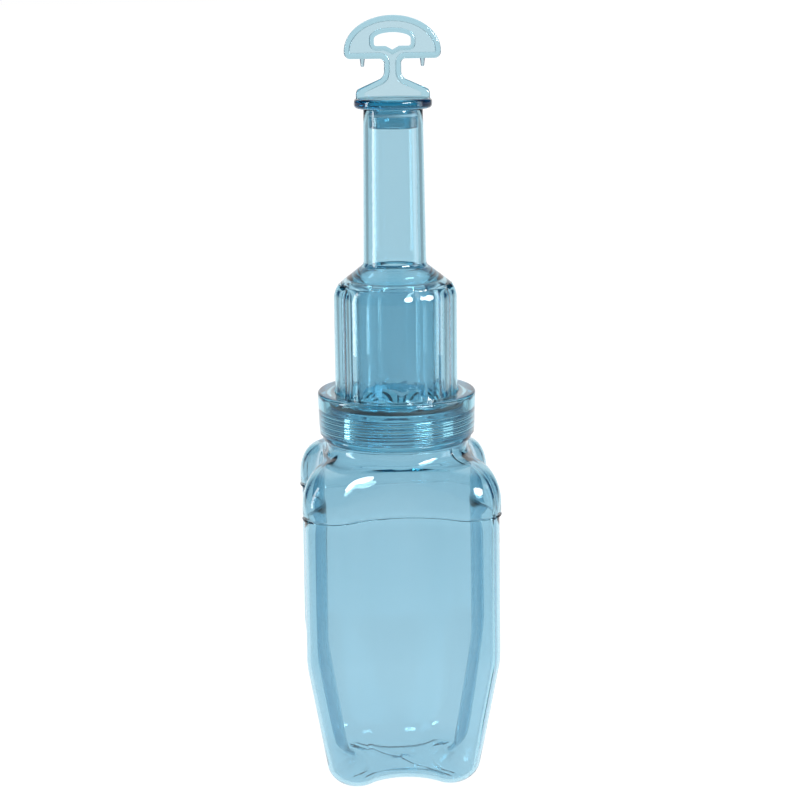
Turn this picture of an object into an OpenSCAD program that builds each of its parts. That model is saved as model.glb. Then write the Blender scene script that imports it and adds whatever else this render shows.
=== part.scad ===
// Hand-held urine bottle: a four-lobed blow-moulded bottle, a neck funnel held on it
// by a screw collar, and a pull-out stopper with a T-shaped handle.
// Millimetres. Z is up, the origin is at the middle of the base, the front is -Y.

/* [Bottle] */
// Width of the body across two neighbouring lobes
body_w = 97.5; // [94:0.5:104]
// Radius of the four upright lobes
lobe_r = 15; // [14:0.2:17]
// Depth of the hollow in each of the four sides
side_hollow = 9.6; // [7:0.1:11]
// Wall thickness of the bottle
wall = 1.8; // [1.4:0.1:2.4]
// Height at which the lower walls start to lean in
bend_z = 69; // [60:1:80]
// Inward step at the foot: how much closer to the axis a lobe's centre stands
foot_in = 8.4; // [6:0.1:10]
// Radius of the lobes at the feet
foot_lobe_r = 14.2; // [12.4:0.1:15]
// Rounding between the side walls and the base
foot_round = 10.5; // [8:0.5:11]
// Height of the moulded step under the shoulder
step_z = 145.4; // [140:0.2:148]
// How far the shoulder stands out over the body at the step
step_out = 0.9; // [0.3:0.1:1.4]

/* [Neck finish] */
// Bore radius of the bottle's mouth
mouth_r = 31; // [30.6:0.1:31.2]
// Outer radius of the neck, without its thread
neck_r = 34; // [33.8:0.1:34.2]
// Height of the rim of the mouth
rim_z = 196.7; // [196:0.1:197]
// Pitch of the screw thread
pitch = 2.8; // [2.7:0.1:3]
// Height of a thread ridge
thread_h = 1.8; // [1.6:0.1:2]

/* [Collar] */
// Outer radius of the screw collar at its top
collar_r = 40.2; // [39.5:0.1:41]
// Height of the collar's top face
collar_top_z = 202.8; // [202.7:0.1:203.5]

/* [Neck funnel] */
// Radius of the fluted grip over its lobes
grip_r = 31.1; // [30:0.1:31.2]
// Number of lobes round the grip
grip_lobes = 8; // [8:1:8]
// Radius of each grip lobe
grip_lobe_r = 16; // [15:0.5:17]
// Wall thickness of the funnel
funnel_wall = 2.6; // [2:0.1:2.8]
// Outer radius of the spout tube at its foot and at its mouth
tube_foot_r = 15.8; // [15.4:0.1:16.2]
tube_top_r = 14.8; // [14.6:0.1:15]
// Height of the spout's mouth
tube_top_z = 344.6; // [340:0.1:344.6]

/* [Stopper] */
// Radius of the stopper's flange
flange_r = 19.4; // [18.4:0.1:20.4]
// Half width of the handle
handle_half_w = 23.9; // [21:0.1:25]
// Height of the handle's top
handle_top_z = 389.9; // [386:0.1:392]
// Thickness of the handle's raised border
border_t = 4; // [3:0.1:5]
// Thickness of the handle's web
web_t = 1.8; // [1.4:0.1:2.4]

/* [Hidden] */
$fn = 96;

// Steps of one lobe arc and of one hollow side in the bottle's outline.
lobe_steps = 8;
side_steps = 5;
outline_n = 4 * (lobe_steps + side_steps);

// The bottle's main sections.
lobe_c = body_w / 2 - lobe_r;
foot_ref_z = 12.8;
bend_soft = 8;
swell = 0.4;
lip_out = 0.3;
shoulder_z = 151.5;
shoulder_h = 19;
shoulder_turn = 0.62;
root_h = 5.5;
root_r = 36.2;
root_bore_r = 33.6;
body_top_z = 179.4;
push_up_r = 12;
push_up_h = 2.4;

// The bead under the thread.
bead_r = 38;
bead_z = 178.4;
bead_h = 2.8;

// Both threads: the ridge's width at its root and its crest, and the angle of one segment.
ridge_root_w = 1.6;
ridge_crest_w = 0.7;
thread_step = 10;
thread_play = 0.4;
neck_thread_z = 184.4;
neck_thread_turns = 3.25;
collar_thread_turns = 3.75;
collar_bottom_z = 181.4;
collar_web_t = 2.2;
collar_draft = 0.6;
collar_round = 1.4;
collar_hole_r = 31.5;

// The stack that the collar clamps: gasket, then the funnel's flange.
gasket_t = 1.8;
seat_z = rim_z + gasket_t;
flange_t = 2;
seat_r = 33.8;

// The grip's shoulder and the tube.
grip_top_z = 249.8;
grip_round = 13;
cone_angle = 35;
tube_round = 3;
sleeve_r = 19.4;
sleeve_t = 1.5;
sleeve_z = 201;
cone_under_z = 263;
tube_foot_bore_r = 13.4;
tube_top_bore_r = 12.6;

// The stopper's plug and its seal ring.
stop_z = tube_top_z + 0.1;
stop_t = 5.1;
edge_round = 1.9;
plug_r = 12.3;
plug_tip_r = 12.1;
plug_bore_r = 9.2;
plug_len = 9.6;
seal_z = stop_z - 3.2;
seal_section_r = 0.75;
groove_r = 11;
groove_h = 1.8;

// The handle: its dome, stem, flare, eye and pegs.
dome_h = 17.5;
dome_z = handle_top_z - dome_h;
wing_round = 3.2;
wing_z = dome_z - 3.6;
stem_half_w = 4.25;
stem_round = 2.2;
flare_top_z = 362.6;
flare_round = 4.2;
flare_angle = 32;
border_w = 2.5;
eye_half_w = 9.1;
eye_top_z = 381.6;
eye_side_z = 379.4;
eye_bottom_z = 375;
eye_notch_half_w = 3.3;
eye_notch_z = 373.2;
peg_x = 14.8;
peg_len = 3.9;
overlap = 0.5;

// Points of a circular arc round (x, y).
function arc(x, y, r, from, to, steps) =
    [for (i = [0:steps]) let (a = from + (to - from) * i / steps) [x + r * cos(a), y + r * sin(a)]];

// A point turned about the origin.
function turned(p, a) = [p.x * cos(a) - p.y * sin(a), p.x * sin(a) + p.y * cos(a)];

// Outline of four lobes of radius r, centred c from both axes, joined by hollow sides of depth d.
function lobed(c, r, d) =
    let (
        side_r = (c * c + (r - d) * (r - d) - r * r) / (2 * d),
        side_c = c + r - d + side_r,
        a = atan2(c, side_c - c),
        quarter = concat(
            arc(c, c, r, -a, 90 + a, lobe_steps),
            [for (i = [1:side_steps - 1]) let (t = a - 90 - 2 * a * i / side_steps)
                [side_r * cos(t), side_c + side_r * sin(t)]]
        )
    )
    [for (q = [0:3]) for (p = quarter) turned(p, 90 * q)];

// One ring of the bottle: the lobed outline drawn towards a circle by the share mix.
function ring(z, c, r, d, mix = 0, round_r = 1) =
    [for (p = lobed(c, r, d)) let (k = 1 - mix + mix * round_r / norm(p)) [p.x * k, p.y * k, z]];

// How far the lower wall leans in at height z, from 0 at the bend to 1 at the reference height.
function lean(z) =
    let (x = bend_z + bend_soft / 2 - z)
    (x <= 0 ? 0 : x < bend_soft ? x * x / (2 * bend_soft) : x - bend_soft / 2) / (bend_z - foot_ref_z);
function lean_c(z) = lobe_c + swell * min(1, (step_z - z) / (step_z - bend_z)) - foot_in * lean(z);
function lean_r(z) = lobe_r - (lobe_r - foot_lobe_r) * lean(z);

// A ring of the base rounding at angle a: 0 on the base, 90 on the side wall.
function foot_ring(a, inset) =
    let (z = foot_round * (1 - cos(a)), r = lean_r(z) - foot_round * (1 - sin(a)))
    ring(z + inset * cos(a), lean_c(z), r - inset * sin(a), side_hollow);

// The shoulder's rounding, then the hollow curve into the neck, for a surface inset from the outside.
function shoulder_rings(inset, top_r) = [
    for (a = [0:18:90])
        ring(shoulder_z + (shoulder_h - inset) * sin(a), lobe_c, lobe_r + step_out - inset,
            side_hollow, shoulder_turn * (1 - cos(a)), top_r),
    for (a = [30:30:90])
        ring(shoulder_z + shoulder_h - inset + (root_h + inset) * (1 - cos(a)), lobe_c,
            lobe_r + step_out - inset, side_hollow,
            shoulder_turn + (1 - shoulder_turn) * sin(a), top_r),
    ring(body_top_z, lobe_c, lobe_r + step_out - inset, side_hollow, 1, top_r)
];

// The bottle's outside, from the base up, and its inside.
outside_rings = concat(
    [for (a = [30, 0]) ring(push_up_h * (1 - cos(a)) / (1 - cos(60)), lobe_c, lobe_r, side_hollow, 1,
        push_up_r * (1 - a / 90))],
    [for (a = [0:18:90]) foot_ring(a, 0)],
    [for (z = [38, 65.5, 68.5, 71.5, 74.5, step_z - 0.3]) ring(z, lean_c(z), lean_r(z), side_hollow)],
    [ring(step_z, lobe_c, lobe_r + step_out + lip_out, side_hollow),
     ring(step_z + 2, lobe_c, lobe_r + step_out, side_hollow)],
    shoulder_rings(0, root_r)
);
inside_rings = concat(
    [for (a = [30, 0]) ring(wall + push_up_h * (1 - cos(a)) / (1 - cos(60)), lobe_c, lobe_r, side_hollow, 1,
        push_up_r * (1 - a / 90))],
    [for (a = [0:22.5:90]) foot_ring(a, wall)],
    [for (z = [38, 65.5, 70, 74.5, step_z - 0.3])
        ring(z, lean_c(z), lean_r(z) - wall, side_hollow)],
    [ring(step_z + 2.5, lobe_c, lobe_r + step_out - wall, side_hollow)],
    shoulder_rings(wall, root_bore_r)
);

// A closed skin over a list of rings, with a point at each end.
module skin(rings, first, last) {
    n = len(rings[0]);
    m = len(rings);
    points = concat([first], [for (r = rings) each r], [last]);
    faces = concat(
        [for (i = [0:n - 1]) [0, 1 + i, 1 + (i + 1) % n]],
        [for (j = [0:m - 2]) for (i = [0:n - 1]) for (f = [
            [1 + j * n + i, 1 + (j + 1) * n + i, 1 + (j + 1) * n + (i + 1) % n],
            [1 + j * n + i, 1 + (j + 1) * n + (i + 1) % n, 1 + j * n + (i + 1) % n]]) f],
        [for (i = [0:n - 1]) [1 + m * n, 1 + (m - 1) * n + (i + 1) % n, 1 + (m - 1) * n + i]]
    );
    polyhedron(points, faces, convexity = 8);
}

// A right-hand thread ridge that stands from radius root to radius crest.
module thread(root, crest, z, turns) {
    steps = round(turns * 360 / thread_step);
    section = [[root, -ridge_root_w / 2], [crest, -ridge_crest_w / 2],
        [crest, ridge_crest_w / 2], [root, ridge_root_w / 2]];
    // The ridge rises out of the wall over its first and last few steps.
    rings = [for (i = [0:steps]) let (
            a = i * thread_step,
            grow = min(1, (i + 1) / 4, (steps - i + 1) / 4))
        [for (p = section) let (r = root + (p.x - root) * grow)
            [r * cos(a), r * sin(a), z + pitch * a / 360 + p.y]]];
    points = [for (r = rings) each r];
    outward = crest > root;
    side = [for (j = [0:steps - 1]) for (i = [0:3]) let (k = (i + 1) % 4) for (f = [
        [4 * j + i, 4 * j + k, 4 * j + 4 + k], [4 * j + i, 4 * j + 4 + k, 4 * j + 4 + i]]) f];
    ends = [[0, 2, 1], [0, 3, 2], [4 * steps, 4 * steps + 1, 4 * steps + 2],
        [4 * steps, 4 * steps + 2, 4 * steps + 3]];
    faces = concat(side, ends);
    polyhedron(points, outward ? faces : [for (f = faces) [f[0], f[2], f[1]]], convexity = 8);
}

module bottle() {
    color([0.55, 0.78, 0.9, 0.5]) union() {
        skin(concat(outside_rings, [for (i = [len(inside_rings) - 1:-1:0]) inside_rings[i]]),
            [0, 0, push_up_h], [0, 0, wall + push_up_h]);
        neck_finish();
    }
}

module neck_finish() {
    bead_round = 0.8;
    rotate_extrude() polygon(concat(
        [[mouth_r, bead_z + 2.4], [root_bore_r - 0.1, bead_z]],
        arc(bead_r - bead_round, bead_z + bead_round, bead_round, -90, 0, 4),
        arc(bead_r - bead_round, bead_z + bead_h - bead_round, bead_round, 0, 90, 4),
        [[neck_r, bead_z + bead_h]],
        arc(neck_r - 0.8, rim_z - 0.8, 0.8, 0, 90, 4),
        arc(mouth_r + 0.6, rim_z - 0.6, 0.6, 90, 180, 4)
    ));
    thread(neck_r - 0.3, neck_r + thread_h, neck_thread_z, neck_thread_turns);
}

module screw_collar() {
    bore_r = neck_r + thread_h + thread_play;
    color([0.5, 0.72, 0.85, 0.5]) union() {
        rotate_extrude() polygon(concat(
            [[bore_r, collar_bottom_z + 0.8], [bore_r + 0.8, collar_bottom_z]],
            [[collar_r - collar_draft - 0.4, collar_bottom_z], [collar_r - collar_draft, collar_bottom_z + 0.4]],
            arc(collar_r - collar_round, collar_top_z - collar_round, collar_round, 0, 90, 6),
            [[collar_hole_r + 0.4, collar_top_z], [collar_hole_r, collar_top_z - 0.4]],
            [[collar_hole_r, collar_top_z - collar_web_t], [bore_r, collar_top_z - collar_web_t]]
        ));
        thread(bore_r + 0.3, bore_r - thread_h, neck_thread_z - pitch / 2, collar_thread_turns);
    }
}

// Outline of the fluted grip, grown or shrunk by out.
module grip_outline(out) {
    circle(grip_r - grip_lobe_r);
    for (i = [0:grip_lobes - 1])
        rotate(360 / grip_lobes * i) translate([grip_r - grip_lobe_r, 0]) circle(grip_lobe_r + out);
}

// The solid of revolution that cuts the grip's shoulder and forms the tube, inset for the inside.
module funnel_core(inset, low_z, foot_r, top_r, high_z) {
    r_big = grip_r - inset;
    fillet = tube_round + inset;
    round_r = grip_round - inset;
    // The cone touches the grip's rounding and the tube's fillet.
    cx = r_big - round_r + round_r * sin(cone_angle);
    cz = grip_top_z + round_r * cos(cone_angle);
    fx = foot_r + fillet - fillet * sin(cone_angle);
    fz = cz + (cx - fx) * tan(cone_angle);
    rotate_extrude() polygon(concat(
        [[0, low_z], [r_big, low_z]],
        arc(r_big - round_r, grip_top_z, round_r, 0, 90 - cone_angle, 6),
        arc(foot_r + fillet, fz + fillet * cos(cone_angle), fillet, 270 - cone_angle, 180, 6),
        [[top_r, high_z], [0, high_z]]
    ));
}

module neck_funnel() {
    color([0.55, 0.78, 0.9, 0.5]) difference() {
        union() {
            intersection() {
                translate([0, 0, seat_z]) linear_extrude(tube_top_z - seat_z) grip_outline(0);
                funnel_core(0, seat_z, tube_foot_r, tube_top_r, tube_top_z);
            }
            translate([0, 0, seat_z]) cylinder(r = seat_r, h = flange_t);
        }
        difference() {
            intersection() {
                translate([0, 0, seat_z - 1]) linear_extrude(tube_top_z - seat_z + 2) grip_outline(-funnel_wall);
                funnel_core(funnel_wall, seat_z - 1, tube_foot_bore_r, tube_top_bore_r, tube_top_z + 1);
            }
            drip_sleeve();
        }
    }
}

// The round sleeve that hangs inside the grip, from the cone's underside down to the neck.
module drip_sleeve() {
    translate([0, 0, sleeve_z]) difference() {
        cylinder(r = sleeve_r + sleeve_t, h = cone_under_z - sleeve_z);
        translate([0, 0, -1]) cylinder(r = sleeve_r, h = cone_under_z - sleeve_z + 2);
    }
}

module neck_gasket() {
    color([0.45, 0.47, 0.48]) translate([0, 0, rim_z]) difference() {
        cylinder(r = seat_r - 0.1, h = gasket_t);
        translate([0, 0, -1]) cylinder(r = mouth_r + 0.3, h = gasket_t + 2);
    }
}

// Half outline of the handle plate, from the top of the dome down its right side.
function handle_half() = concat(
    [for (a = [90:-10:0]) [handle_half_w * cos(a), dome_z + dome_h * sin(a)]],
    arc(handle_half_w - wing_round, wing_z + wing_round, wing_round, -15, -90, 5),
    arc(stem_half_w + stem_round, wing_z - stem_round, stem_round, 90, 180, 5),
    arc(stem_half_w + flare_round, flare_top_z, flare_round, 180, 270 - flare_angle, 5),
    [[flange_r - 2.7, stop_z + stop_t + 4.6], [flange_r - 1.5, stop_z + stop_t + 3.6],
     [flange_r - 1.1, stop_z + stop_t + 2.2], [flange_r - 1.1, stop_z + stop_t - overlap]]
);

// Half outline of the eye in the handle.
eye_half = concat(
    [for (a = [90:-15:0]) [eye_half_w * cos(a), eye_side_z - 1 + (eye_top_z - eye_side_z + 1) * sin(a)]],
    arc(eye_half_w - 1.2, eye_bottom_z + 1.2, 1.2, 0, -90, 4),
    [[eye_notch_half_w, eye_bottom_z], [0, eye_notch_z]]
);

// A closed outline from its right half.
function mirrored(half) = concat(half, [for (i = [len(half) - 1:-1:0]) [-half[i].x, half[i].y]]);

module handle_outline() {
    difference() {
        polygon(mirrored(handle_half()));
        polygon(mirrored(eye_half));
    }
}

// Stands a flat outline up in the XZ plane, t thick about Y = 0.
module upright(t) {
    rotate([90, 0, 0]) translate([0, 0, -t / 2]) linear_extrude(t) children();
}

module stopper() {
    color([0.6, 0.8, 0.9, 0.5]) union() {
        upright(web_t) handle_outline();
        upright(border_t) difference() {
            handle_outline();
            offset(r = -border_w, $fn = 24) handle_outline();
        }
        for (x = [-peg_x, peg_x])
            translate([x, 0, wing_z - peg_len]) cylinder(r1 = 0.8, r2 = 1.3, h = peg_len + overlap, $fn = 24);
        stopper_plug();
    }
}

module stopper_plug() {
    rotate_extrude() polygon(concat(
        [[0, stop_z + stop_t], [0, stop_z + 2], [plug_bore_r, stop_z + 2]],
        [[plug_bore_r, stop_z - plug_len], [plug_tip_r - 0.6, stop_z - plug_len],
         [plug_tip_r, stop_z - plug_len + 0.8]],
        [[plug_r - 0.05, seal_z - groove_h / 2], [groove_r, seal_z - groove_h / 2],
         [groove_r, seal_z + groove_h / 2], [plug_r, seal_z + groove_h / 2], [plug_r, stop_z]],
        arc(flange_r - edge_round, stop_z + edge_round, edge_round, -90, 0, 6),
        arc(flange_r - edge_round, stop_z + stop_t - edge_round, edge_round, 0, 90, 6)
    ));
}

module stopper_seal() {
    color([0.75, 0.85, 0.9]) translate([0, 0, seal_z])
        rotate_extrude() translate([groove_r + seal_section_r + 0.02, 0]) circle(seal_section_r, $fn = 32);
}

bottle();
screw_collar();
neck_funnel();
neck_gasket();
stopper();
stopper_seal();
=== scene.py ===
"""Urine bottle in clear pale blue plastic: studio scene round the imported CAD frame.

Lengths in the functions are in millimetres; MM turns them into the metres of the frame.
"""
import math

import bmesh
import bpy
from mathutils import Matrix, Vector, noise

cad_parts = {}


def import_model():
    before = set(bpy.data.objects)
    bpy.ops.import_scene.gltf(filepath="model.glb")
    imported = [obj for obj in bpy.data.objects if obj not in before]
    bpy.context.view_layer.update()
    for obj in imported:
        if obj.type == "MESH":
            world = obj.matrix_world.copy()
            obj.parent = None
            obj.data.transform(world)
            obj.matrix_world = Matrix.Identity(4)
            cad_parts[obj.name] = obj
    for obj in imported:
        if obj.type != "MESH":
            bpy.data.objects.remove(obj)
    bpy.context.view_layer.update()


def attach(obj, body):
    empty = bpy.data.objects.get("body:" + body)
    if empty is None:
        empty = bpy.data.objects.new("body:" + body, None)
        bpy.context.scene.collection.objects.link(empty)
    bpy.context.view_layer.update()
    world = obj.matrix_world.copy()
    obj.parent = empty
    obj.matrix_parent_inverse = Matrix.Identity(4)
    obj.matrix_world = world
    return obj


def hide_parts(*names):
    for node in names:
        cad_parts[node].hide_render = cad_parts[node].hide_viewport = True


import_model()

MM = 0.001
TURN = 2 * math.pi


# ---------------------------------------------------------------- modelling helpers

def deselect_all():
    bpy.ops.object.select_all(action="DESELECT")


def place_selected(piece, points):
    """Put the selected vertices of the piece in edit mode on the given points, in ring order."""
    mesh = bmesh.from_edit_mesh(piece.data)
    order = mesh.verts.layers.int["order"]
    for vert in mesh.verts:
        if vert.select:
            vert.co = [c * MM for c in points[vert[order]]]
    bmesh.update_edit_mesh(piece.data)


def grow(name, rings, ends="caps"):
    """Grow a shell ring by ring.

    ends is caps for closed ends, or joined where the last ring meets the first.
    """
    deselect_all()
    bpy.ops.mesh.primitive_circle_add(vertices=len(rings[0]), radius=1)
    piece = bpy.context.object
    piece.name = piece.data.name = name
    bpy.ops.object.mode_set(mode="EDIT")
    mesh = bmesh.from_edit_mesh(piece.data)
    order = mesh.verts.layers.int.new("order")
    mesh.verts.ensure_lookup_table()
    for i, vert in enumerate(mesh.verts):
        vert[order] = i
    bmesh.update_edit_mesh(piece.data)
    bpy.ops.mesh.select_all(action="SELECT")
    place_selected(piece, rings[0])
    if ends == "caps":
        bpy.ops.mesh.edge_face_add()
    for ring in rings[1:]:
        bpy.ops.mesh.extrude_edges_move()
        place_selected(piece, ring)
    if ends == "caps":
        bpy.ops.mesh.edge_face_add()
    else:
        bpy.ops.mesh.select_all(action="DESELECT")
        bpy.ops.mesh.select_non_manifold()
        bpy.ops.mesh.bridge_edge_loops()
    bpy.ops.mesh.select_all(action="SELECT")
    bpy.ops.mesh.normals_make_consistent(inside=False)
    bpy.ops.object.mode_set(mode="OBJECT")
    return piece


def smooth(piece, angle=30):
    deselect_all()
    piece.select_set(True)
    bpy.context.view_layer.objects.active = piece
    bpy.ops.object.shade_smooth_by_angle(angle=math.radians(angle))


def circle_ring(r, z, count):
    return [(r * math.cos(TURN * i / count), r * math.sin(TURN * i / count), z) for i in range(count)]


def arc(x, y, r, start, end, steps):
    """Points on an arc round (x, y), with angles in degrees."""
    return [(x + r * math.cos(math.radians(start + (end - start) * i / steps)),
             y + r * math.sin(math.radians(start + (end - start) * i / steps))) for i in range(steps + 1)]


def ease(t):
    t = min(1, max(0, t))
    return t * t * (3 - 2 * t)


# ---------------------------------------------------------------- sizes shared by the pieces, in mm

BODY_W, LOBE_R, HOLLOW, WALL = 97.5, 15, 9.6, 1.8
BEND_Z, BEND_SOFT, SWELL = 69, 8, 0.4
FOOT_IN, FOOT_LOBE_R, FOOT_ROUND, FOOT_REF_Z = 8.4, 14.2, 10.5, 12.8
STEP_Z, STEP_OUT, LIP_OUT, GROOVE = 145.4, 0.9, 0.19, 0.4
SHOULDER_Z, SHOULDER_H, SHOULDER_TURN = 151.5, 19, 0.62
ROOT_H, ROOT_R, ROOT_BORE_R = 5.5, 36.2, 33.6
BEAD_R, BEAD_Z, BEAD_H = 38, 178.4, 2.8
MOUTH_R, NECK_R, RIM_Z = 31, 34, 196.7
# THREAD_ROLL is how far a thread stands out, THREAD_H the room left for it between neck and collar.
PITCH, THREAD_ROLL, THREAD_H, THREAD_Z, NECK_TURNS, COLLAR_TURNS = 2.8, 1.2, 1.8, 184.4, 3.25, 3.75
COLLAR_R, COLLAR_TOP_Z, COLLAR_BOTTOM_Z = 40.2, 202.8, 181.4
GASKET_T, SEAT_R, FLANGE_T = 1.8, 33.8, 2
SEAT_Z = RIM_Z + GASKET_T
LOBE_C = BODY_W / 2 - LOBE_R
BASE_LIFT, PUSH_UP, PINCH_H, PINCH_W = 0.9, 1.8, 0.7, 1.6
# Columns from the ridge of a lobe, and how far the parting line stands out there.
PARTING_LINE = ((-3, 0.08), (-2, 0.3), (-1, 0.45), (0, 0.5), (1, 0.45), (2, 0.3), (3, 0.08))


# ---------------------------------------------------------------- the bottle

def outline_angles():
    """Steps along one lobe's arc, from -1 to 1, close together at its ridge for the parting line."""
    coarse = [0.08, 0.16, 0.28, 0.4, 0.52, 0.64, 0.76, 0.88, 1]
    fine = [0.012, 0.03]
    half = fine + coarse
    return [-t for t in reversed(half)] + [0] + half


LOBE_STEPS = outline_angles()
SIDE_STEPS = 26
RIDGE = LOBE_STEPS.index(0)
QUARTER = len(LOBE_STEPS) + SIDE_STEPS - 1
COLUMNS = 4 * QUARTER


def lobed(c, r, d):
    """Outline of four lobes of radius r, centred c from both axes, with hollow sides of depth d."""
    side_r = (c * c + (r - d) ** 2 - r * r) / (2 * d)
    side_c = c + r - d + side_r
    a = math.atan2(c, side_c - c)
    mid, half = math.pi / 4, math.pi / 4 + a
    quarter = [(c + r * math.cos(mid + half * t), c + r * math.sin(mid + half * t)) for t in LOBE_STEPS]
    for i in range(1, SIDE_STEPS):
        t = a - math.pi / 2 - 2 * a * i / SIDE_STEPS
        quarter.append((side_r * math.cos(t), side_c + side_r * math.sin(t)))
    points = []
    for q in range(4):
        cq, sq = round(math.cos(q * math.pi / 2)), round(math.sin(q * math.pi / 2))
        points += [(x * cq - y * sq, x * sq + y * cq) for x, y in quarter]
    return points


def ring(z, c, r, d, mix=0, round_r=1):
    out = []
    for x, y in lobed(c, r, d):
        k = 1 - mix + mix * round_r / math.hypot(x, y)
        out.append((x * k, y * k, z))
    return out


def lean(z):
    x = BEND_Z + BEND_SOFT / 2 - z
    if x <= 0:
        return 0
    return (x * x / (2 * BEND_SOFT) if x < BEND_SOFT else x - BEND_SOFT / 2) / (BEND_Z - FOOT_REF_Z)


def lean_c(z):
    return LOBE_C + SWELL * min(1, (STEP_Z - z) / (STEP_Z - BEND_Z)) - FOOT_IN * lean(z)


def lean_r(z):
    return LOBE_R - (LOBE_R - FOOT_LOBE_R) * lean(z)


def foot_ring(a, inset):
    a = math.radians(a)
    z = FOOT_ROUND * (1 - math.cos(a))
    r = lean_r(z) - FOOT_ROUND * (1 - math.sin(a))
    return ring(z + inset * math.cos(a), lean_c(z), r - inset * math.sin(a), HOLLOW)


def shoulder_rings(inset, top_r):
    rings = []
    for i in range(16):
        a = math.radians(90 * i / 15)
        rings.append(ring(SHOULDER_Z + (SHOULDER_H - inset) * math.sin(a), LOBE_C, LOBE_R + STEP_OUT - inset,
                          HOLLOW, SHOULDER_TURN * (1 - math.cos(a)), top_r))
    for i in range(1, 12):
        a = math.radians(90 * i / 11)
        z = SHOULDER_Z + SHOULDER_H - inset + (ROOT_H + inset) * (1 - math.cos(a))
        rings.append(ring(z, LOBE_C, LOBE_R + STEP_OUT - inset, HOLLOW,
                          SHOULDER_TURN + (1 - SHOULDER_TURN) * math.sin(a), top_r))
    return rings


def base_rings(lift):
    """The base's middle, pushed up a little, with the mould's pinch-off line across its underside."""
    rings = []
    for a in (82, 70, 60, 50, 40, 30, 20, 10, 0):
        z = lift + BASE_LIFT + PUSH_UP * (1 - math.cos(math.radians(a)))
        rings.append(ring(z, LOBE_C, LOBE_R, HOLLOW, 1, 12 * (1 - a / 90)))
    for mix in (0.8, 0.6, 0.4, 0.2, 0.08):
        rings.append(ring(lift + BASE_LIFT * ease(mix / 0.3), lean_c(0), lean_r(0) - FOOT_ROUND,
                          HOLLOW, mix, 12))
    if lift:
        return rings
    pinched = []
    for points in rings:
        row = []
        for x, y, z in points:
            ridge = ease(1 - abs(x + y) / PINCH_W)
            row.append((x, y, z - PINCH_H * ridge * min(1, z / BASE_LIFT)))
        pinched.append(row)
    return pinched


def thread_height(theta, z, start_z, turns):
    """Height of a right-hand rolled thread at an angle and height."""
    along = (z - start_z) / PITCH
    wave = 0.5 + 0.5 * math.cos(TURN * (along - theta / TURN))
    return THREAD_ROLL * wave * ease(along / 0.6 + 0.5) * ease((turns - along) / 0.6 + 0.5)


def neck_rings():
    """The bead, the threaded neck and its rim, from the shoulder up."""
    profile = [(ROOT_R, BEAD_Z - 0.3), (ROOT_R + 0.3, BEAD_Z)]
    profile += arc(BEAD_R - 0.7, BEAD_Z + 0.7, 0.7, -90, 0, 4)
    profile += arc(BEAD_R - 0.7, BEAD_Z + BEAD_H - 0.7, 0.7, 0, 90, 4)
    profile += [(NECK_R + 0.5, BEAD_Z + BEAD_H), (NECK_R + 0.1, BEAD_Z + BEAD_H + 0.15)]
    z = BEAD_Z + BEAD_H + 0.5
    while z < RIM_Z - 0.9:
        profile.append((NECK_R, z))
        z += 0.2
    profile += arc(NECK_R - 0.8, RIM_Z - 0.8, 0.8, 0, 90, 5)
    profile += arc(MOUTH_R + 0.6, RIM_Z - 0.6, 0.6, 90, 180, 4)
    profile += [(MOUTH_R, RIM_Z - 6), (MOUTH_R, BEAD_Z + 3.4), (MOUTH_R + 0.4, BEAD_Z + 2.2),
                (ROOT_BORE_R - 0.5, BEAD_Z - 0.2)]
    rings = []
    for r, z in profile:
        points = []
        for x, y in lobed(LOBE_C, LOBE_R, HOLLOW):
            theta = math.atan2(y, x) % TURN
            rr = r
            if abs(r - NECK_R) < 0.01:
                rr += thread_height(theta, z, THREAD_Z, NECK_TURNS)
            points.append((rr * math.cos(theta), rr * math.sin(theta), z))
        rings.append(points)
    return rings


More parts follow.
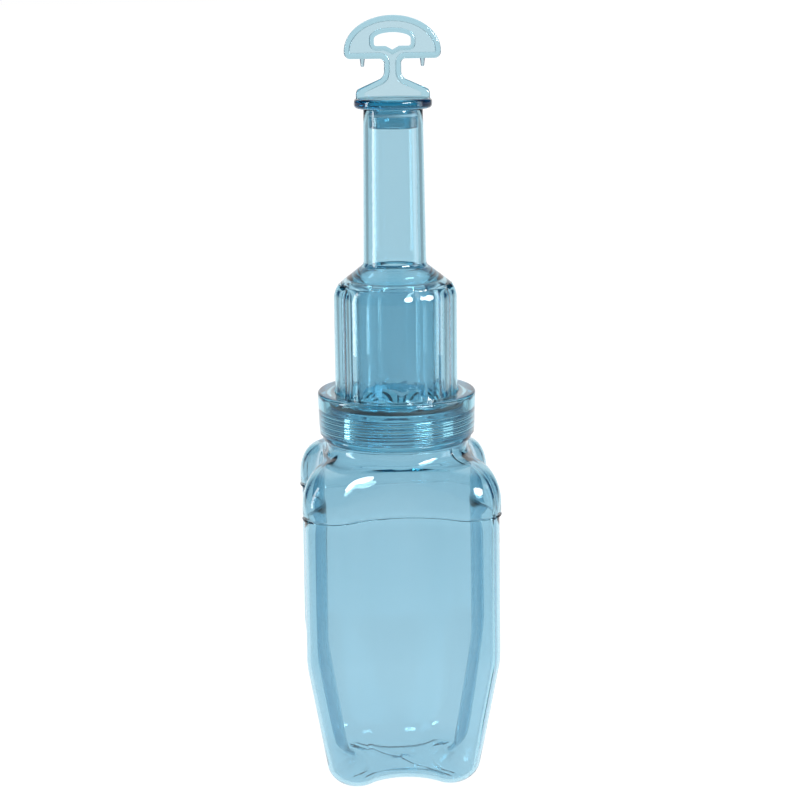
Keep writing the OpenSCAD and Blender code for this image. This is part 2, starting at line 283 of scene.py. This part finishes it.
def bottle():
    wall_z = [24, 38, 52, 60, 64, 65.5, 67, 68.5, 70, 71.5, 73, 75, 85, 100, 115, 130, 140, STEP_Z - 1]
    outside = base_rings(0)
    outside += [foot_ring(90 * i / 12, 0) for i in range(13)]
    outside += [ring(z, lean_c(z), lean_r(z), HOLLOW) for z in wall_z + [STEP_Z - 0.35, STEP_Z - 0.12]]
    outside += [ring(STEP_Z - 0.05, LOBE_C, LOBE_R + STEP_OUT + LIP_OUT * 0.7, HOLLOW),
                ring(STEP_Z + 0.12, LOBE_C, LOBE_R + STEP_OUT + LIP_OUT, HOLLOW),
                ring(STEP_Z + 0.35, LOBE_C, LOBE_R + STEP_OUT + LIP_OUT * 0.8, HOLLOW),
                ring(STEP_Z + 0.55, LOBE_C, LOBE_R + STEP_OUT - GROOVE, HOLLOW),
                ring(STEP_Z + 0.9, LOBE_C, LOBE_R + STEP_OUT - GROOVE * 1.1, HOLLOW),
                ring(STEP_Z + 1.3, LOBE_C, LOBE_R + STEP_OUT - GROOVE * 0.3, HOLLOW),
                ring(STEP_Z + 2, LOBE_C, LOBE_R + STEP_OUT, HOLLOW),
                ring(STEP_Z + 4, LOBE_C, LOBE_R + STEP_OUT, HOLLOW)]
    outside += shoulder_rings(0, ROOT_R)
    inside = base_rings(WALL)
    inside += [foot_ring(90 * i / 12, WALL) for i in range(13)]
    inside += [ring(z, lean_c(z), lean_r(z) - WALL, HOLLOW) for z in wall_z]
    inside += [ring(z, LOBE_C, LOBE_R + STEP_OUT * ease((z - STEP_Z + 2) / 6) - WALL, HOLLOW)
               for z in (STEP_Z, STEP_Z + 1, STEP_Z + 2, STEP_Z + 3, STEP_Z + 4, STEP_Z + 5)]
    inside += shoulder_rings(WALL, ROOT_BORE_R)
    ridge_columns = (RIDGE + QUARTER, RIDGE + 3 * QUARTER)
    parted = []
    for points in outside:
        points = list(points)
        for col in ridge_columns:
            for step, height in PARTING_LINE:
                x, y, z = points[(col + step) % COLUMNS]
                r = math.hypot(x, y)
                if z > 12:
                    points[(col + step) % COLUMNS] = (x * (1 + height / r), y * (1 + height / r), z)
        parted.append(points)
    # The blown wall is never quite even, so its inside wanders a little.
    wandering = []
    for points in inside:
        row = []
        for x, y, z in points:
            k = 0.08 * noise.noise(Vector((x / 17, y / 17, z / 34)))
            r = max(1, math.hypot(x, y))
            row.append((x * (1 + k / r), y * (1 + k / r), z))
        wandering.append(row)
    piece = grow("bottle_shell", parted + neck_rings() + wandering[::-1])
    smooth(piece, 40)
    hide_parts("bottle")
    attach(piece, "bottle")
    return piece


# ---------------------------------------------------------------- the screw collar

def collar():
    count = 240
    bore = NECK_R + THREAD_H + 0.4
    draft = 0.6
    profile = [(bore + 0.7, COLLAR_BOTTOM_Z), (COLLAR_R - draft - 0.4, COLLAR_BOTTOM_Z)]
    profile += [(COLLAR_R - draft - 0.1, COLLAR_BOTTOM_Z + 0.1), (COLLAR_R - draft, COLLAR_BOTTOM_Z + 0.4)]
    side_h = 18.8
    profile += [(COLLAR_R - draft * (1 - t), COLLAR_BOTTOM_Z + 0.4 + side_h * t)
                for t in (0.25, 0.5, 0.75, 0.97)]
    profile += arc(COLLAR_R - 1.4, COLLAR_TOP_Z - 1.4, 1.4, 0, 90, 8)
    profile += [(36, COLLAR_TOP_Z), (33, COLLAR_TOP_Z)]
    profile += arc(31.5 + 0.5, COLLAR_TOP_Z - 0.5, 0.5, 90, 180, 4)
    profile += arc(31.5 + 0.3, COLLAR_TOP_Z - 1.9, 0.3, 180, 270, 3)
    profile += [(34, COLLAR_TOP_Z - 2.2)]
    profile += arc(bore - 0.5, COLLAR_TOP_Z - 2.7, 0.5, 90, 0, 3)
    z = COLLAR_TOP_Z - 3.4
    while z > COLLAR_BOTTOM_Z + 0.9:
        profile.append((bore, z))
        z -= 0.2
    profile.append((bore + 0.2, COLLAR_BOTTOM_Z + 0.5))
    rings = []
    for r, z in profile:
        points = []
        for i in range(count):
            theta = TURN * i / count
            rr = r - (thread_height(theta, z, THREAD_Z - PITCH / 2, COLLAR_TURNS) if r == bore else 0)
            points.append((rr * math.cos(theta), rr * math.sin(theta), z))
        rings.append(points)
    piece = grow("collar_ring", rings, "joined")
    smooth(piece, 40)
    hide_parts("screw_collar")
    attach(piece, "collar")
    return piece


# ---------------------------------------------------------------- the neck funnel

GRIP_R, GRIP_LOBES, GRIP_LOBE_R = 31.1, 8, 16
GRIP_TOP_Z, GRIP_ROUND, CONE_ANGLE, TUBE_ROUND = 249.8, 13, 35, 3
TUBE_FOOT_R, TUBE_TOP_R, TUBE_TOP_Z = 15.8, 14.8, 344.6
TUBE_FOOT_BORE, TUBE_TOP_BORE, FUNNEL_WALL = 13.4, 12.6, 2.4
FLUTE_END_Z = 257.4
EDGE_ANGLE = 35.8
SLEEVE_R, SLEEVE_T, SLEEVE_Z = 19.4, 1.5, 201
FUNNEL_COUNT = 256


def core_profile(inset, foot_r, top_r, top_z):
    """Radius and height from the grip's wall, over the shoulder and up the tube."""
    r_big = GRIP_R - inset
    fillet = TUBE_ROUND + inset
    round_r = GRIP_ROUND - inset
    slope = math.radians(CONE_ANGLE)
    cx = r_big - round_r + round_r * math.sin(slope)
    cz = GRIP_TOP_Z + round_r * math.cos(slope)
    fx = foot_r + fillet - fillet * math.sin(slope)
    fz = cz + (cx - fx) * math.tan(slope)
    if inset == 0:
        # The outside rounds over the lobes, and then turns sharply into the cone.
        profile = arc(r_big - round_r, GRIP_TOP_Z, round_r, 0, EDGE_ANGLE, 14)
        cx, cz = profile[-1]
        profile += [(cx - 0.15, cz + 0.04)]
    else:
        profile = arc(r_big - round_r, GRIP_TOP_Z, round_r, 0, 90 - CONE_ANGLE, 22)
    profile += [(cx + (fx - cx) * t, cz + (fz - cz) * t) for t in (0.1, 0.25, 0.5, 0.75)]
    profile += arc(foot_r + fillet, fz + fillet * math.cos(slope), fillet, 270 - CONE_ANGLE, 180, 10)
    low = profile[-1][1]
    profile += [(foot_r + (top_r - foot_r) * t, low + (top_z - low) * t) for t in (0.1, 0.3, 0.5, 0.7, 0.9)]
    return profile


def flute(theta, out=0):
    """Radius of the fluted outline at an angle, with softened valleys."""
    c, rho = GRIP_R - GRIP_LOBE_R, GRIP_LOBE_R + out
    pitch = TURN / GRIP_LOBES
    d = (theta + pitch / 2) % pitch - pitch / 2
    r = c * math.cos(d) + math.sqrt(rho * rho - (c * math.sin(d)) ** 2)
    valley = c * math.cos(pitch / 2) + math.sqrt(rho * rho - (c * math.sin(pitch / 2)) ** 2)
    return valley + math.sqrt((r - valley) ** 2 + 0.12) - 0.02


def funnel_ring(r, z, inset, fluted):
    points = []
    for i in range(FUNNEL_COUNT):
        theta = TURN * i / FUNNEL_COUNT
        depth = (GRIP_R - inset) - flute(theta, -inset)
        rr = r - depth * fluted
        points.append((rr * math.cos(theta), rr * math.sin(theta), z))
    return points


def funnel():
    flange_top = SEAT_Z + FLANGE_T
    # Flange, from the bore's lower edge outwards and up.
    flange = [(SEAT_R - 0.3, SEAT_Z)] + arc(SEAT_R - 0.4, SEAT_Z + 0.4, 0.4, -60, 0, 3)
    flange += arc(SEAT_R - 0.4, flange_top - 0.4, 0.4, 0, 90, 3)
    flange += [(32.4, flange_top), (31.6, flange_top)]
    rings = [funnel_ring(r, z, 0, 0) for r, z in flange]
    for z, f in ((flange_top + 0.1, 0.7), (flange_top + 0.5, 1), (210, 1), (225, 1), (240, 1), (247, 1)):
        rings.append(funnel_ring(GRIP_R, z, 0, f))
    for r, z in core_profile(0, TUBE_FOOT_R, TUBE_TOP_R, TUBE_TOP_Z):
        fade = 1 - ease((z - FLUTE_END_Z + 0.2) / 0.8)
        if z > FLUTE_END_Z + 3:
            fade = 0
        rings.append(funnel_ring(r, z, 0, fade))
    # The rim of the spout, then the bore back down.
    for r, z in arc(TUBE_TOP_R - 0.6, TUBE_TOP_Z - 0.6, 0.6, 0, 90, 4):
        rings.append(funnel_ring(r, z, 0, 0))
    for r, z in arc(TUBE_TOP_BORE + 0.5, TUBE_TOP_Z - 0.5, 0.5, 90, 180, 4):
        rings.append(funnel_ring(r, z, 0, 0))
    inner = core_profile(FUNNEL_WALL, TUBE_FOOT_BORE, TUBE_TOP_BORE, TUBE_TOP_Z)
    ceiling = [(r, z) for r, z in inner if r > TUBE_FOOT_BORE + 0.1 and z < 270]

    def ceiling_z(radius):
        for (r0, z0), (r1, z1) in zip(ceiling, ceiling[1:]):
            if r1 <= radius <= r0:
                return z0 + (z1 - z0) * (r0 - radius) / max(1e-6, r0 - r1)
        return ceiling[0][1]

    # Down the tube and the cone's inside to the sleeve, and down its bore.
    rings += [funnel_ring(r, z, FUNNEL_WALL, 0) for r, z in reversed(inner) if r < SLEEVE_R - 2]
    bore_z = ceiling_z(SLEEVE_R)
    sleeve = [(SLEEVE_R - 1.1, bore_z - 0.9), (SLEEVE_R - 0.45, bore_z - 2.2),
              (SLEEVE_R - 0.1, bore_z - 4.2), (SLEEVE_R, bore_z - 7), (SLEEVE_R, 240), (SLEEVE_R, 220),
              (SLEEVE_R, SLEEVE_Z + 0.5)]
    # Round the sleeve's rim and up its outside.
    out = SLEEVE_R + SLEEVE_T
    sleeve += arc(SLEEVE_R + 0.5, SLEEVE_Z + 0.5, 0.5, 180, 270, 3)
    sleeve += arc(out - 0.5, SLEEVE_Z + 0.5, 0.5, 270, 360, 3)
    root_z = ceiling_z(out + 2.2)
    sleeve += [(out, 220), (out, 240), (out, root_z - 4.6), (out + 0.25, root_z - 2.6),
               (out + 0.8, root_z - 1.2), (out + 1.5, root_z - 0.35)]
    rings += [funnel_ring(r, z, 0, 0) for r, z in sleeve]
    # Down the fluted wall's inside to the seat.
    for r, z in reversed(inner):
        if r > out + 2.2:
            rings.append(funnel_ring(r, z, FUNNEL_WALL, 1 - ease((z - FLUTE_END_Z + 4) / 4)))
    for z in (240, 225, 210, SEAT_Z + 0.6):
        rings.append(funnel_ring(GRIP_R - FUNNEL_WALL, z, FUNNEL_WALL, 1))
    rings.append(funnel_ring(GRIP_R - FUNNEL_WALL + 0.4, SEAT_Z, FUNNEL_WALL, 1))
    piece = grow("funnel_body", rings, "joined")
    smooth(piece, 40)
    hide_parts("neck_funnel")
    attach(piece, "funnel")
    return piece


# ---------------------------------------------------------------- the neck gasket

def gasket():
    profile = arc(33.3, RIM_Z + 0.4, 0.4, -90, 0, 3) + arc(33.3, RIM_Z + 1.35, 0.4, 0, 90, 3)
    profile += arc(31.8, RIM_Z + 1.35, 0.4, 90, 180, 3) + arc(31.8, RIM_Z + 0.4, 0.4, 180, 270, 3)
    piece = grow("gasket_ring", [circle_ring(r, z, 160) for r, z in profile], "joined")
    smooth(piece, 60)
    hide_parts("neck_gasket")
    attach(piece, "funnel")
    return piece


# ---------------------------------------------------------------- the stopper

FLANGE_R, STOP_Z, STOP_T = 19.4, 344.7, 5.1
HALF_W, TOP_Z, DOME_H, WING_ROUND = 23.9, 389.9, 17.5, 3.2
DOME_Z = TOP_Z - DOME_H
WING_Z = DOME_Z - 3.6
STEM_W, STEM_ROUND, FLARE_Z, FLARE_ROUND, FLARE_ANGLE = 4.25, 2.2, 362.6, 4.2, 32
BORDER_W, BORDER_T, WEB_T = 2.5, 4, 1.8
EYE_W, EYE_H, EYE_Z, EYE_LOW_Z, EYE_ROUND = 9.1, 3.2, 378.4, 375, 1.2
PEG_X = 14.8
SEAL_Z, SEAL_R, SEAL_ROUND = STOP_Z - 3.2, 11.77, 0.75


def handle_half(inset=0):
    """Right half of the handle's outline, or of a line set inside it."""
    points = [((HALF_W - inset) * math.cos(math.radians(a)),
               DOME_Z + (DOME_H - inset) * math.sin(math.radians(a))) for a in range(90, -1, -5)]
    points += arc(HALF_W - WING_ROUND, WING_Z + WING_ROUND, WING_ROUND - inset, -15, -90, 8)
    points += arc(STEM_W + STEM_ROUND, WING_Z - STEM_ROUND, STEM_ROUND + inset, 90, 180, 8)
    points += arc(STEM_W + FLARE_ROUND, FLARE_Z, FLARE_ROUND + inset, 180, 270 - FLARE_ANGLE, 8)
    top = STOP_Z + STOP_T
    if inset >= BORDER_W:
        return points + [(13.4, top + 2.9), (14, top + 2.4), (14, top + 0.8)]
    points += [(FLANGE_R - 2.7 - inset, top + 4.6 - inset), (FLANGE_R - 1.9 - inset, top + 4.1 - inset),
               (FLANGE_R - 1.4 - inset, top + 3.2 - inset / 2), (FLANGE_R - 1.1 - inset, top + 2),
               (FLANGE_R - 1.1 - inset, top - 1.2)]
    return points


def eye_half():
    points = [(EYE_W * math.cos(math.radians(a)), EYE_Z + EYE_H * math.sin(math.radians(a)))
              for a in range(90, -1, -10)]
    points += arc(EYE_W - EYE_ROUND, EYE_LOW_Z + EYE_ROUND, EYE_ROUND, 0, -90, 6)
    points += [(3.3, EYE_LOW_Z), (0, EYE_LOW_Z - 1.8)]
    return points


def mirrored(half):
    return half + [(-x, z) for x, z in reversed(half) if abs(x) > 1e-6]


def inset_outline(points, distance):
    """A closed outline moved inwards by a distance, in order."""
    out = []
    n = len(points)
    after = points[1:] + points[:1]
    area = sum(x0 * z1 - x1 * z0 for (x0, z0), (x1, z1) in zip(points, after))
    side = 1 if area > 0 else -1
    for i in range(n):
        (x0, z0), (x1, z1), (x2, z2) = points[i - 1], points[i], points[(i + 1) % n]
        a = Vector((x1 - x0, z1 - z0)).normalized()
        b = Vector((x2 - x1, z2 - z1)).normalized()
        na, nb = Vector((-a.y, a.x)) * side, Vector((-b.y, b.x)) * side
        m = (na + nb) / max(0.35, 1 + na.dot(nb))
        out.append((x1 + m.x * distance, z1 + m.y * distance))
    return out


def prism(name, outline, thickness, edge, y=0):
    """A flat plate in the XZ plane with rounded edges; outline gives the closed line at an inset."""
    rings = []
    for a in (0, 30, 60, 90):
        inset = edge * (1 - math.sin(math.radians(a)))
        depth = thickness / 2 - edge * (1 - math.cos(math.radians(a)))
        rings.append([(x, y - depth, z) for x, z in outline(inset)])
    rings += [[(px, 2 * y - py, pz) for px, py, pz in front] for front in reversed(rings)]
    return grow(name, rings)


def combine(base, other, operation="UNION"):
    mod = base.modifiers.new("combine", "BOOLEAN")
    mod.operation = operation
    mod.solver = "EXACT"
    mod.object = other
    deselect_all()
    base.select_set(True)
    bpy.context.view_layer.objects.active = base
    bpy.ops.object.modifier_apply(modifier=mod.name)
    bpy.data.objects.remove(other, do_unlink=True)


def stopper():
    count = 160
    groove_r, groove_h, plug_r = 11, 1.8, 12.3
    low, high = SEAL_Z - groove_h / 2, SEAL_Z + groove_h / 2
    profile = [(0.5, STOP_Z + 2), (4, STOP_Z + 2)] + arc(8.2, STOP_Z + 1, 1, 90, 0, 4)
    profile += [(9.2, STOP_Z - 3), (9.2, STOP_Z - 9)] + arc(9.7, STOP_Z - 9.1, 0.5, 180, 270, 3)
    profile += arc(11.3, STOP_Z - 8.8, 0.8, -90, 0, 4)
    profile += [(plug_r - 0.05, low - 0.2), (plug_r - 0.2, low), (groove_r, low), (groove_r, high),
                (plug_r - 0.2, high), (plug_r, high + 0.2), (plug_r, STOP_Z)]
    profile += [(15, STOP_Z)] + arc(FLANGE_R - 1.9, STOP_Z + 1.9, 1.9, -90, 0, 10)
    profile += arc(FLANGE_R - 1.9, STOP_Z + STOP_T - 1.9, 1.9, 0, 90, 10)
    profile += [(12, STOP_Z + STOP_T), (6, STOP_Z + STOP_T), (0.5, STOP_Z + STOP_T)]
    piece = grow("stopper_body", [circle_ring(r, z, count) for r, z in profile])
    eye = mirrored(eye_half())
    border = prism("border", lambda inset: mirrored(handle_half(inset)), BORDER_T, 1.1)
    for side in (-1, 1):
        pocket = prism("pocket", lambda inset: mirrored(handle_half(BORDER_W + inset)), 4, 0.5,
                       side * (2 + WEB_T / 2))
        combine(border, pocket, "DIFFERENCE")
    combine(border, prism("eye_border", lambda inset: inset_outline(eye, inset - 2.2), BORDER_T, 0.9))
    combine(border, prism("eye", lambda inset: eye, BORDER_T + 4, 0.1), "DIFFERENCE")
    for x in (-PEG_X, PEG_X):
        rings = [circle_ring(r, z, 24) for r, z in
                 ((0.3, WING_Z - 3.9), (0.65, WING_Z - 3.75), (0.85, WING_Z - 3.3), (1.3, WING_Z + 0.6),
                  (0.4, WING_Z + 0.8))]
        combine(border, grow("peg", [[(px + x, py, pz) for px, py, pz in r] for r in rings]))
    combine(piece, border)
    smooth(piece, 40)
    # The flat web and flange keep flat shading right up to their rounded edges.
    weights = piece.modifiers.new("face_weights", "WEIGHTED_NORMAL")
    weights.keep_sharp = True
    weights.weight = 100
    bpy.ops.object.modifier_apply(modifier=weights.name)
    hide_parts("stopper")
    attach(piece, "stopper")
    return piece


def seal():
    section = [(SEAL_R + SEAL_ROUND * math.cos(TURN * i / 20), SEAL_Z + SEAL_ROUND * math.sin(TURN * i / 20))
               for i in range(20)]
    section = [(r + (0.05 if abs(z - SEAL_Z) < 0.01 and r > 12 else 0), z) for r, z in section]
    piece = grow("seal_ring", [circle_ring(r, z, 120) for r, z in section], "joined")
    smooth(piece, 60)
    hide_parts("stopper_seal")
    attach(piece, "stopper")
    return piece


# ---------------------------------------------------------------- materials

def new_group(name, inputs, outputs):
    group = bpy.data.node_groups.new(name, "ShaderNodeTree")
    for label, kind, value in inputs:
        socket = group.interface.new_socket(label, in_out="INPUT", socket_type=kind)
        socket.default_value = value
    for label, kind in outputs:
        group.interface.new_socket(label, in_out="OUTPUT", socket_type=kind)
    return group, group.nodes.new("NodeGroupInput"), group.nodes.new("NodeGroupOutput")


def handling_marks():
    """Faint smears and hairline scuffs: puts out a roughness and a height."""
    group, source, out = new_group(
        "handling_marks",
        [("Clean Roughness", "NodeSocketFloat", 0.01), ("Smeared Roughness", "NodeSocketFloat", 0.08),
         ("Smear Scale", "NodeSocketFloat", 30), ("Scuff Scale", "NodeSocketFloat", 400)],
        [("Roughness", "NodeSocketFloat"), ("Height", "NodeSocketFloat")])
    links = group.links
    coord = group.nodes.new("ShaderNodeTexCoord")
    smear = group.nodes.new("ShaderNodeTexNoise")
    smear.inputs["Detail"].default_value = 6
    links.new(coord.outputs["Object"], smear.inputs["Vector"])
    links.new(source.outputs["Smear Scale"], smear.inputs["Scale"])
    ramp = group.nodes.new("ShaderNodeMapRange")
    ramp.inputs["From Min"].default_value = 0.52
    ramp.inputs["From Max"].default_value = 0.8
    links.new(smear.outputs["Fac"], ramp.inputs["Value"])
    links.new(source.outputs["Clean Roughness"], ramp.inputs["To Min"])
    links.new(source.outputs["Smeared Roughness"], ramp.inputs["To Max"])
    links.new(ramp.outputs["Result"], out.inputs["Roughness"])
    ripple = group.nodes.new("ShaderNodeTexNoise")
    ripple.inputs["Detail"].default_value = 2
    links.new(coord.outputs["Object"], ripple.inputs["Vector"])
    links.new(source.outputs["Scuff Scale"], ripple.inputs["Scale"])
    links.new(ripple.outputs["Fac"], out.inputs["Height"])
    return group


def clear_plastic(name, skin, tint, density, smeared, ripple_scale, ripple):
    """Clear plastic: each surface lets through skin, and the thickness takes up tint and density."""
    mat = bpy.data.materials.new(name)
    mat.use_nodes = True
    nodes, links = mat.node_tree.nodes, mat.node_tree.links
    shader = nodes["Principled BSDF"]
    shader.inputs["Base Color"].default_value = (*skin, 1)
    shader.inputs["Transmission Weight"].default_value = 1
    shader.inputs["IOR"].default_value = 1.56
    marks = nodes.new("ShaderNodeGroup")
    marks.node_tree = MARKS
    marks.inputs["Clean Roughness"].default_value = 0.0
    marks.inputs["Smeared Roughness"].default_value = smeared
    marks.inputs["Scuff Scale"].default_value = ripple_scale
    links.new(marks.outputs["Roughness"], shader.inputs["Roughness"])
    bump = nodes.new("ShaderNodeBump")
    bump.inputs["Strength"].default_value = ripple
    bump.inputs["Distance"].default_value = 0.0002
    links.new(marks.outputs["Height"], bump.inputs["Height"])
    links.new(bump.outputs["Normal"], shader.inputs["Normal"])
    absorb = nodes.new("ShaderNodeVolumeAbsorption")
    absorb.inputs["Color"].default_value = (*tint, 1)
    absorb.inputs["Density"].default_value = density
    links.new(absorb.outputs["Volume"], nodes["Material Output"].inputs["Volume"])
    # Light that falls on the floor passes straight through, as bright as through the real plastic.
    path = nodes.new("ShaderNodeLightPath")
    either = nodes.new("ShaderNodeMath")
    either.operation = "MAXIMUM"
    links.new(path.outputs["Is Shadow Ray"], either.inputs[0])
    links.new(path.outputs["Is Diffuse Ray"], either.inputs[1])
    clear = nodes.new("ShaderNodeBsdfTransparent")
    clear.inputs["Color"].default_value = (*[c ** 0.5 for c in skin], 1)
    mix = nodes.new("ShaderNodeMixShader")
    links.new(either.outputs["Value"], mix.inputs["Fac"])
    links.new(shader.outputs["BSDF"], mix.inputs[1])
    links.new(clear.outputs["BSDF"], mix.inputs[2])
    links.new(mix.outputs["Shader"], nodes["Material Output"].inputs["Surface"])
    return mat


def rubber(name, colour, roughness):
    mat = bpy.data.materials.new(name)
    mat.use_nodes = True
    nodes, links = mat.node_tree.nodes, mat.node_tree.links
    shader = nodes["Principled BSDF"]
    grain = nodes.new("ShaderNodeTexNoise")
    grain.inputs["Scale"].default_value = 900
    coord = nodes.new("ShaderNodeTexCoord")
    links.new(coord.outputs["Object"], grain.inputs["Vector"])
    ramp = nodes.new("ShaderNodeValToRGB")
    ramp.color_ramp.elements[0].color = (*[c * 0.7 for c in colour], 1)
    ramp.color_ramp.elements[1].color = (*colour, 1)
    links.new(grain.outputs["Fac"], ramp.inputs["Fac"])
    links.new(ramp.outputs["Color"], shader.inputs["Base Color"])
    shader.inputs["Roughness"].default_value = roughness
    bump = nodes.new("ShaderNodeBump")
    bump.inputs["Strength"].default_value = 0.3
    bump.inputs["Distance"].default_value = 0.0001
    links.new(grain.outputs["Fac"], bump.inputs["Height"])
    links.new(bump.outputs["Normal"], shader.inputs["Normal"])
    return mat


MARKS = handling_marks()
TINT = (0.1, 0.68, 0.8)
BLOWN = clear_plastic("blown_clear_blue", (0.63, 0.76, 0.825), TINT, 120, 0.03, 60, 0.015)
MOULDED = clear_plastic("moulded_clear_blue", (0.77, 0.86, 0.905), TINT, 110, 0.03, 200, 0.01)
COLLAR = clear_plastic("collar_clear_blue", (0.87, 0.94, 0.96), TINT, 120, 0.03, 200, 0.01)
STOPPER = clear_plastic("stopper_clear_blue", (0.59, 0.73, 0.785), TINT, 110, 0.03, 200, 0.01)

pieces = {
    "bottle": (bottle(), BLOWN),
    "collar": (collar(), COLLAR),
    "funnel": (funnel(), MOULDED),
    "stopper": (stopper(), STOPPER),
    "gasket": (gasket(), rubber("gasket_rubber", (0.05, 0.05, 0.055), 0.55)),
    "seal": (seal(), rubber("seal_silicone", (0.6, 0.68, 0.72), 0.35)),
}
for piece, material in pieces.values():
    piece.data.materials.clear()
    piece.data.materials.append(material)


# ---------------------------------------------------------------- studio

VIEW_YAW = 3.6


def fade_node(tree, value, from_min, from_max, to_min=0, to_max=1):
    """A soft fade of a value between two ends."""
    node = tree.nodes.new("ShaderNodeMapRange")
    node.interpolation_type = "SMOOTHSTEP"
    node.inputs["From Min"].default_value = from_min
    node.inputs["From Max"].default_value = from_max
    node.inputs["To Min"].default_value = to_min
    node.inputs["To Max"].default_value = to_max
    tree.links.new(value, node.inputs["Value"])
    return node.outputs["Result"]


def math_node(tree, operation, *values):
    """One sum; each value is an output to link or a number."""
    node = tree.nodes.new("ShaderNodeMath")
    node.operation = operation
    for socket, value in zip(node.inputs, values):
        if isinstance(value, (int, float)):
            socket.default_value = value
        else:
            tree.links.new(value, socket)
    return node.outputs["Value"]


def along_node(tree, vector, direction):
    """How far a vector reaches along a direction."""
    node = tree.nodes.new("ShaderNodeVectorMath")
    node.operation = "DOT_PRODUCT"
    node.inputs[1].default_value = direction
    tree.links.new(vector, node.inputs[0])
    return node.outputs["Value"]


def floor():
    """A pale floor, dimmer in front and at the sides for what the plastic bends and reflects."""
    deselect_all()
    bpy.ops.mesh.primitive_circle_add(vertices=64, radius=30, fill_type="NGON", location=(0, 0, -0.0001))
    plane = bpy.context.object
    plane.name = "studio_floor"
    mat = bpy.data.materials.new("studio_floor")
    mat.use_nodes = True
    tree = mat.node_tree
    shader = tree.nodes["Principled BSDF"]
    shader.inputs["Base Color"].default_value = (0.25, 0.25, 0.25, 1)
    shader.inputs["Roughness"].default_value = 0.9
    shader.inputs["Specular IOR Level"].default_value = 0
    shader.inputs["Emission Color"].default_value = (1, 1, 1, 1)
    place = tree.nodes.new("ShaderNodeTexCoord").outputs["Object"]
    yaw = math.radians(VIEW_YAW)
    depth = along_node(tree, place, (0, 1, 0))
    width = math_node(tree, "ABSOLUTE", along_node(tree, place, (math.cos(yaw), -math.sin(yaw), 0)))
    front = fade_node(tree, depth, -0.5, -0.1, FLOOR_DIM, FLOOR_GLOW)
    aside = math_node(tree, "MULTIPLY_ADD", depth, -0.45, width)
    side = fade_node(tree, aside, 0.15, 0.5, 1, FLOOR_DIM)
    seen = tree.nodes.new("ShaderNodeMix")
    seen.inputs["B"].default_value = FLOOR_GLOW
    path = tree.nodes.new("ShaderNodeLightPath")
    tree.links.new(path.outputs["Is Camera Ray"], seen.inputs["Factor"])
    tree.links.new(math_node(tree, "MULTIPLY", front, side), seen.inputs["A"])
    tree.links.new(seen.outputs["Result"], shader.inputs["Emission Strength"])
    plane.data.materials.append(mat)


def softbox(name, azimuth, elevation, distance, width, height, glow, shape="RECTANGLE"):
    """A soft light aimed at the bottle; azimuth is from the camera's side, positive to the right."""
    az, el = math.radians(azimuth - VIEW_YAW), math.radians(elevation)
    target = Vector((0, 0, 0.2))
    way = Vector((math.sin(az) * math.cos(el), -math.cos(az) * math.cos(el), math.sin(el)))
    light = bpy.data.lights.new(name, "AREA")
    light.shape = shape
    light.size, light.size_y = width, height
    light.energy = glow * math.pi * width * height
    lamp = bpy.data.objects.new(name, light)
    lamp.location = target + way * distance
    lamp.rotation_euler = way.to_track_quat("Z", "Y").to_euler()
    bpy.context.collection.objects.link(lamp)


def camera():
    pitch, yaw, distance = math.radians(12.4), math.radians(VIEW_YAW), 0.9894
    data = bpy.data.cameras.new("view")
    data.sensor_width = 36
    data.lens = 87.3
    cam = bpy.data.objects.new("view", data)
    bpy.context.collection.objects.link(cam)
    back = Vector((-math.sin(yaw) * math.cos(pitch), -math.cos(yaw) * math.cos(pitch), math.sin(pitch)))
    right = Vector((math.cos(yaw), -math.sin(yaw), 0))
    up = back.cross(right)
    spot = Vector((0, 0, 0.1971)) + back * distance + right * 0.0017
    turn = Matrix((right, up, back)).transposed() @ Matrix.Rotation(math.radians(-0.7), 3, "Z")
    cam.matrix_world = Matrix.Translation(spot) @ turn.to_4x4()
    data.clip_end = 100
    bpy.context.scene.camera = cam


def world():
    """A pale backdrop behind the bottle, and a dim room in front of it and at both sides."""
    sky = bpy.data.worlds.new("studio")
    sky.use_nodes = True
    nodes, links = sky.node_tree.nodes, sky.node_tree.links
    yaw = math.radians(VIEW_YAW)
    way = nodes.new("ShaderNodeTexCoord").outputs["Generated"]
    behind = fade_node(sky.node_tree, along_node(sky.node_tree, way, (math.sin(yaw), math.cos(yaw), 0)),
                       -0.1, 0.4)
    across = along_node(sky.node_tree, way, (math.cos(yaw), -math.sin(yaw), 0))
    middle = fade_node(sky.node_tree, math_node(sky.node_tree, "ABSOLUTE", across), 0.35, 0.62, 1, 0)
    tone = nodes.new("ShaderNodeMix")
    tone.data_type = "RGBA"
    tone.inputs["A"].default_value = ROOM
    tone.inputs["B"].default_value = BACKDROP
    links.new(math_node(sky.node_tree, "MULTIPLY", behind, middle), tone.inputs["Factor"])
    path = nodes.new("ShaderNodeLightPath")
    seen = nodes.new("ShaderNodeMix")
    seen.data_type = "RGBA"
    seen.inputs["B"].default_value = BACKDROP
    links.new(path.outputs["Is Camera Ray"], seen.inputs["Factor"])
    links.new(tone.outputs["Result"], seen.inputs["A"])
    links.new(seen.outputs["Result"], nodes["Background"].inputs["Color"])
    bpy.context.scene.world = sky


ROOM, BACKDROP, FLOOR_DIM, FLOOR_GLOW = (0.03, 0.08, 0.16, 1), (1, 1, 1, 1), 0.4, 1.0
floor()
world()
camera()
softbox("strip_left", -84, 12, 1.1, 0.2, 1.0, 7)
softbox("strip_right", 86, 12, 1.1, 0.4, 1.0, 2)
softbox("box_right", 44, 24, 1.1, 0.6, 0.4, 16, "ELLIPSE")
scene = bpy.context.scene
scene.view_settings.view_transform = "Standard"
scene.cycles.max_bounces = 40
scene.cycles.transmission_bounces = 32
scene.cycles.glossy_bounces = 12
scene.cycles.transparent_max_bounces = 32
